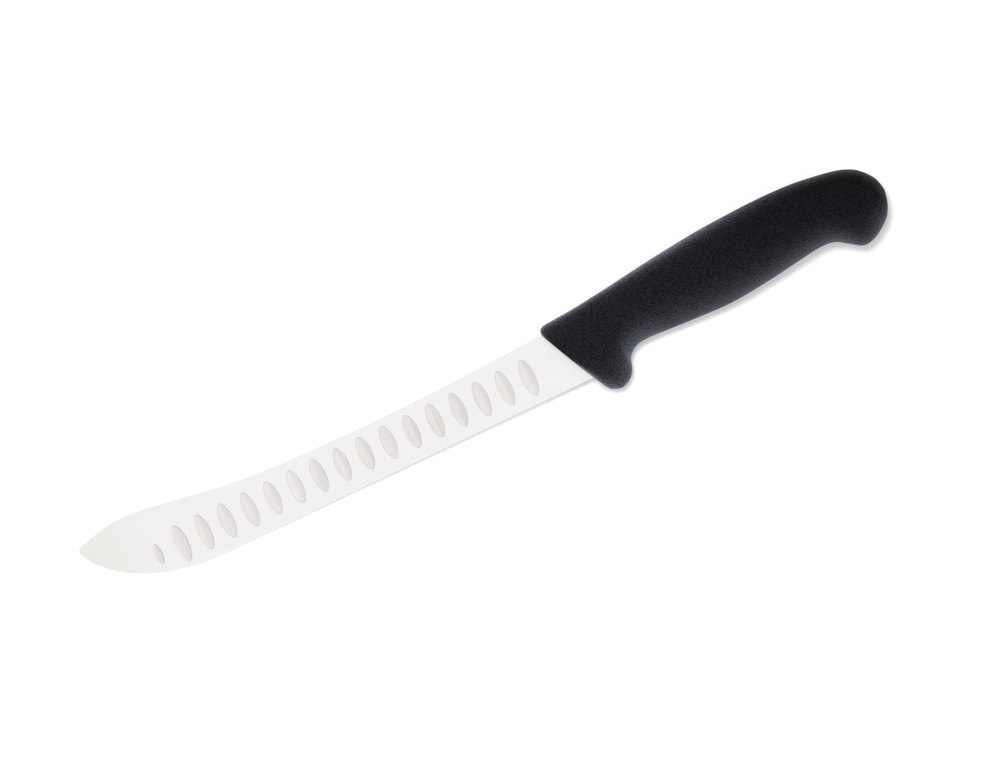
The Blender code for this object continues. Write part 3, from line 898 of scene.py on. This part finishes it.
# %% [markdown]
# ## Plastic
#
# The grip is a black moulding with a fine leather grain and a soft bluish sheen. Modelled, the
# grain would take millions of faces, so it is a bump and a colour: small pebbles from a texture of
# cells, roughened by noise, with painted light on their tops and painted shade in their valleys.
# The neck is painted a little paler than the butt, as painted light and shade along the handle.
# The sheen is painted light and shade too: it is raised at the guard and the fillet behind it, in
# a broad soft band, and lowered on the back of the butt up to its rim. The sheen is a plain number
# on the shader, so the grip has a row of lit and shaded copies of one finish that differ in it
# alone, in steps too small to see, and each face gets one by its place and by the way it faces.
# The mould's two halves meet on the knife's middle plane and leave a faint line there. The core
# is smooth, hard and dark grey.

# %% The height of the grain and of the parting line
PEBBLE_SCALE, CRUMB_SCALE = 2100.0, 3000.0
PEBBLE_ROUND = 0.3
PEBBLE_HEIGHT = -0.9
SEAM_HALF = 0.00012


def pebble_grain(tree, place):
    """Highest at the middle of each pebble, where the texture's distance is least."""
    pebbles = node(
        tree, "ShaderNodeTexVoronoi", feature="SMOOTH_F1", Scale=PEBBLE_SCALE, Smoothness=PEBBLE_ROUND
    )
    crumbs = node(tree, "ShaderNodeTexNoise", Scale=CRUMB_SCALE, Detail=2.0, Roughness=0.5)
    grain = node(tree, "ShaderNodeMath", operation="MULTIPLY_ADD")
    grain.inputs[1].default_value = PEBBLE_HEIGHT
    tree.links.new(place.outputs["Object"], pebbles.inputs["Vector"])
    tree.links.new(place.outputs["Object"], crumbs.inputs["Vector"])
    tree.links.new(pebbles.outputs["Distance"], grain.inputs[0])
    tree.links.new(crumbs.outputs["Fac"], grain.inputs[2])
    return grain.outputs["Value"]


def parting_line(tree, place):
    """1 where the way through the knife is half done, and 0 a little to either side."""
    depth = node(tree, "ShaderNodeVectorMath", operation="DOT_PRODUCT")
    depth.inputs[1].default_value = through
    off = node(tree, "ShaderNodeMath", operation="SUBTRACT")
    off.inputs[1].default_value = to_table.translation.dot(through)
    off_either = node(tree, "ShaderNodeMath", operation="ABSOLUTE")
    tree.links.new(place.outputs["Object"], depth.inputs[0])
    tree.links.new(depth.outputs["Value"], off.inputs[0])
    tree.links.new(off.outputs["Value"], off_either.inputs[0])
    return rescaled(tree, off_either.outputs["Value"], 0.0, SEAM_HALF, 1.0, 0.0)


print("the pebbles are about", round(1000 / PEBBLE_SCALE, 2), "mm wide")
print("the parting line is", round(SEAM_HALF * 2000, 2), "mm wide")

# %% Grained plastic
NECK_END, BUTT_END = 0.03, 0.17
# Painted light and shade along the handle: the colour is shifted paler at the neck and darker at the
# butt.
NECK_PAINTED_LIGHT, BUTT_PAINTED_SHADE = 0.14, -0.30
PEBBLE_CONTRAST = 0.70
# Painted light and shade on the grain: the colour is painted palest on the pebbles' tops and darkest in
# their valleys.
VALLEY, TOP = -0.03, 0.27
VALLEY_SHADED_BLACK, TOP_LIT_BLACK = (0.0002, 0.0002, 0.0006), (0.0255, 0.0240, 0.0312)
LEAST_ROUGH, MOST_ROUGH = 0.46, 0.58
GRAIN_DEPTH = 0.00026
SHEEN_ROUGHNESS, SHEEN_TINT = 0.48, (0.78, 0.82, 1.0, 1)
GLOSS = 0.04


def grained_plastic(name, sheen):
    made, tree, shader, place = new_material(name)
    link = tree.links.new
    shader.inputs["Specular IOR Level"].default_value = GLOSS
    shader.inputs["Sheen Weight"].default_value = sheen
    shader.inputs["Sheen Roughness"].default_value = SHEEN_ROUGHNESS
    shader.inputs["Sheen Tint"].default_value = SHEEN_TINT
    grain = pebble_grain(tree, place)

    # Painted light and shade: the colour is painted paler at the neck and darker towards the butt.
    spot = node(tree, "ShaderNodeSeparateXYZ")
    link(place.outputs["Object"], spot.inputs["Vector"])
    painted_falloff = rescaled(tree, spot.outputs["X"], NECK_END, BUTT_END, NECK_PAINTED_LIGHT, BUTT_PAINTED_SHADE)
    # Painted light on the pebbles' tops and painted shade in their valleys, shifted by the painted shade
    # along the handle.
    shown = node(tree, "ShaderNodeMath", operation="MULTIPLY_ADD", use_clamp=True)
    shown.inputs[1].default_value = PEBBLE_CONTRAST
    link(rescaled(tree, grain, VALLEY, TOP), shown.inputs[0])
    link(painted_falloff, shown.inputs[2])
    link(mixed(tree, shown.outputs["Value"], VALLEY_SHADED_BLACK, TOP_LIT_BLACK), shader.inputs["Base Color"])

    worn = node(tree, "ShaderNodeTexNoise", Scale=45.0, Detail=3.0)
    link(place.outputs["Object"], worn.inputs["Vector"])
    polish = rescaled(tree, worn.outputs["Fac"], 0.0, 1.0, LEAST_ROUGH, MOST_ROUGH)
    link(polish, shader.inputs["Roughness"])

    height = node(tree, "ShaderNodeMath", operation="ADD")
    relief = node(tree, "ShaderNodeBump", Strength=1.0, Distance=GRAIN_DEPTH)
    link(parting_line(tree, place), height.inputs[0])
    link(grain, height.inputs[1])
    link(height.outputs["Value"], relief.inputs["Height"])
    link(relief.outputs["Normal"], shader.inputs["Normal"])
    return made


# %% How much painted sheen a face has
# Painted light and shade in the sheen: it is raised on the guard's slopes and lowered where the butt's
# back faces the world's dark side.
LEAST_SHEEN, USUAL_SHEEN, MOST_SHEEN, SHEEN_STEP = 0.12, 0.48, 0.90, 0.06
GUARD_MIDDLE = Vector((BLADE_LENGTH + 0.012, 0.0))
LIT_TO, LIT_END = 0.013, 0.026
LIT_SLOPE, MOST_LIT_SLOPE = 0.25, 0.55
BACK_OF_BUTT = Vector((0.74, 0.67, 0.0))
SHADE_START, SHADE_TO = BLADE_LENGTH + 0.050, BLADE_LENGTH + 0.102
SHADE_TURN = 0.42


def share_of_way(value, start, end):
    """How far a value is on the way from start to end, from 0 to 1."""
    return min(1.0, max(0.0, (value - start) / (end - start)))


def painted_sheen_of(spot, facing):
    """The painted sheen of a face, by its place in the knife's own frame and the way it faces.
    It is raised near the guard as painted light and lowered on the butt's back as painted shade.
    """
    near_guard = share_of_way((spot.xy - GUARD_MIDDLE).length, LIT_END, LIT_TO)
    lit_share = near_guard * share_of_way(facing.xy.length, LIT_SLOPE, MOST_LIT_SLOPE)
    near_butt = share_of_way(spot.x, SHADE_START, SHADE_TO)
    shaded_share = share_of_way(near_butt * facing.dot(BACK_OF_BUTT), 0.0, SHADE_TURN)
    return USUAL_SHEEN + lit_share * (MOST_SHEEN - USUAL_SHEEN) - shaded_share * (USUAL_SHEEN - LEAST_SHEEN)


finish_count = 1 + round((MOST_SHEEN - LEAST_SHEEN) / SHEEN_STEP)
print("the sheen goes from", LEAST_SHEEN, "to", MOST_SHEEN, "in", finish_count, "finishes")

# %% Give each face of the grip its painted sheen
grip.data.materials.clear()
for i in range(finish_count):
    grip.data.materials.append(grained_plastic(f"grip_painted_sheen_{i + 1}", LEAST_SHEEN + i * SHEEN_STEP))
from_table = to_table.inverted()
for face in grip.data.polygons:
    sheen = painted_sheen_of(from_table @ face.center, from_table.to_3x3() @ face.normal)
    face.material_index = round((sheen - LEAST_SHEEN) / SHEEN_STEP)
given = [face.material_index for face in grip.data.polygons]
print("faces of each sheen:", [given.count(i) for i in range(finish_count)])

# %% Plain plastic for the core
CORE_DARK, CORE_PALE = (0.045, 0.045, 0.050), (0.055, 0.055, 0.060)
CORE_ROUGHNESS = 0.5


def moulded_plastic(name):
    made, tree, shader, place = new_material(name)
    link = tree.links.new
    shader.inputs["Roughness"].default_value = CORE_ROUGHNESS
    cloudy = node(tree, "ShaderNodeTexNoise", Scale=220.0, Detail=4.0)
    relief = node(tree, "ShaderNodeBump", Strength=0.2, Distance=0.00003)
    link(place.outputs["Object"], cloudy.inputs["Vector"])
    link(mixed(tree, cloudy.outputs["Fac"], CORE_DARK, CORE_PALE), shader.inputs["Base Color"])
    link(cloudy.outputs["Fac"], relief.inputs["Height"])
    link(relief.outputs["Normal"], shader.inputs["Normal"])
    return made


core.data.materials.clear()
core.data.materials.append(moulded_plastic("core_moulding"))
print("the core's finish:", core.data.materials[0].name)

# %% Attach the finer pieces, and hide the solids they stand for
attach(blade, "root")
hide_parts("blade")
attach(grip, "root")
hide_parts("handle_grip")
print("the finer pieces:", blade.name, "and", grip.name)

# %% [markdown]
# ## Table, light and camera
#
# The photograph is a catalogue picture: a white table that fades into white, soft light, and the
# camera straight above, far away with a long lens, so the knife keeps its proportions. One large
# lamp hangs high, a little to the side of the spine, and throws the short shadow under the edge.
# The table and the world show as white to the camera through the light path. As a lamp the world
# is dimmer, and dark on the side of the butt's back. In reflections it is greyer towards the tip,
# which shades the hollows.

# %% White table
TABLE_SIZE = 12.0
TABLE_GREY, TABLE_ROUGHNESS = (0.8, 0.8, 0.8, 1), 0.9
FLOOR_GLOW = 0.34

let_go()
bpy.ops.mesh.primitive_plane_add(size=TABLE_SIZE)
table = bpy.context.object
table.name = "table"
table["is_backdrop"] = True

made, tree, shader, place = new_material("white_table")
shader.inputs["Base Color"].default_value = TABLE_GREY
shader.inputs["Roughness"].default_value = TABLE_ROUGHNESS
shader.inputs["Specular IOR Level"].default_value = 0.0
shader.inputs["Emission Color"].default_value = (1, 1, 1, 1)
path = node(tree, "ShaderNodeLightPath")
seen = node(tree, "ShaderNodeMath", operation="MAXIMUM")
glow = node(tree, "ShaderNodeMath", operation="MULTIPLY")
glow.inputs[1].default_value = FLOOR_GLOW
tree.links.new(path.outputs["Is Camera Ray"], seen.inputs[0])
tree.links.new(path.outputs["Is Glossy Ray"], seen.inputs[1])
tree.links.new(seen.outputs["Value"], glow.inputs[0])
tree.links.new(glow.outputs["Value"], shader.inputs["Emission Strength"])
table.data.materials.append(made)
print("the table is", TABLE_SIZE, "m wide, and glows by", FLOOR_GLOW, "as it is seen")

# %% White world
world = bpy.data.worlds.new("white_room")
bpy.context.scene.world = world
world.use_nodes = True
room = world.node_tree
backdrop = room.nodes["Background"]
backdrop.inputs["Color"].default_value = (1, 1, 1, 1)
path = node(room, "ShaderNodeLightPath")
direction = node(room, "ShaderNodeTexCoord")


def toward_side(side, far_low, far_high, low, high, ease="LINEAR"):
    """A level that goes from low to high as the direction turns to the side."""
    lean = node(room, "ShaderNodeVectorMath", operation="DOT_PRODUCT")
    lean.inputs[1].default_value = side
    room.links.new(direction.outputs["Generated"], lean.inputs[0])
    return rescaled(room, lean.outputs["Value"], far_low, far_high, low, high, ease)


def for_rays(kind, other, own=None):
    """A level of its own for one kind of ray, plain white if none is given. The rest keep the other."""
    choice = node(room, "ShaderNodeMix", data_type="FLOAT")
    choice.inputs["B"].default_value = 1.0
    room.links.new(path.outputs[kind], choice.inputs["Factor"])
    room.links.new(other, choice.inputs["A"])
    if own:
        room.links.new(own, choice.inputs["B"])
    return choice.outputs["Result"]


# %% Dimmer as a lamp, and greyer towards the tip in reflections
SHADED_FROM_TO = (0.05, 0.85)
OPEN_LIGHT, SHADED_LIGHT = 0.56, 0.0
GREY_SIDE, SLANT = (-1.0, 0.0, 0.0), 0.25
FLAT_LEAN = 0.09
MOST_REFLECTED = 1.03

as_lamp = toward_side(BACK_OF_BUTT, *SHADED_FROM_TO, OPEN_LIGHT, SHADED_LIGHT, "SMOOTHSTEP")
brightest = FLAT_LEAN - (MOST_REFLECTED - 1) / SLANT
reflected = toward_side(GREY_SIDE, brightest, FLAT_LEAN + 1, MOST_REFLECTED, 1 - SLANT)
level = for_rays("Is Glossy Ray", as_lamp, reflected)
level = for_rays("Is Transmission Ray", level)
level = for_rays("Is Camera Ray", level)
room.links.new(level, backdrop.inputs["Strength"])
print("reflected white goes from", MOST_REFLECTED, "down to", 1 - SLANT, "towards the tip")

# %% Camera straight above
IMAGE_SIZE = (1000, 775)
PIXEL = 0.000389
PHOTO_TURN = math.radians(25.5)
TIP_PIXEL = (79.3, 551.6)
TIP_DRAWN = Vector((0.0004, 0.02489, 0.0))
SCALE_PLANE = 0.006
CAMERA_HEIGHT = 3.0
SENSOR = 36.0

right = Vector((math.cos(PHOTO_TURN), -math.sin(PHOTO_TURN), 0))
up = Vector((math.sin(PHOTO_TURN), math.cos(PHOTO_TURN), 0))
tip = to_table @ TIP_DRAWN
aim = tip - right * (TIP_PIXEL[0] - IMAGE_SIZE[0] / 2) * PIXEL
aim -= up * (IMAGE_SIZE[1] / 2 - TIP_PIXEL[1]) * PIXEL
lens = bpy.data.cameras.new("above")
lens.sensor_width = SENSOR
lens.lens = SENSOR * (CAMERA_HEIGHT - SCALE_PLANE) / (IMAGE_SIZE[0] * PIXEL)
lens.clip_end = 20
camera = bpy.data.objects.new("camera", lens)
bpy.context.scene.collection.objects.link(camera)
camera.location = (aim.x, aim.y, CAMERA_HEIGHT)
camera.rotation_euler = (0, 0, -PHOTO_TURN)
bpy.context.scene.camera = camera
print("the lens is", round(lens.lens, 1), "mm, aimed at", [round(v, 4) for v in aim])

# %% One large soft lamp
LAMP_LEVEL = 0.60
LAMP_SIZE, LAMP_AWAY = 0.5, 2.4
LAMP_RISE = math.radians(79)

toward = Vector((0, math.cos(LAMP_RISE), math.sin(LAMP_RISE)))
softbox = bpy.data.lights.new("softbox", "AREA")
softbox.shape = "DISK"
softbox.size = LAMP_SIZE
softbox.energy = LAMP_LEVEL * math.pi**2 * LAMP_AWAY**2 / math.sin(LAMP_RISE)
lamp = bpy.data.objects.new("softbox", softbox)
bpy.context.scene.collection.objects.link(lamp)
lamp.location = toward * LAMP_AWAY
lamp.rotation_euler = toward.to_track_quat("Z", "Y").to_euler()
lamp.visible_glossy = False
print("the lamp has", round(softbox.energy, 1), "W")

# %% Show the colours as they are written
bpy.context.scene.view_settings.view_transform = "Standard"
print("view transform:", bpy.context.scene.view_settings.view_transform)

# %% [markdown]
# ## Both boxes
#
# The box of the solids and the box of the pieces shown are both printed. The visual pieces
# have to stay inside the box of the solids.

# %% Print both boxes
seen_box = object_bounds()
for name, box in (("solids", cad_box), ("shown", seen_box)):
    print(name, [round(v * 1000, 3) for v in box[0]], [round(v * 1000, 3) for v in box[1]])
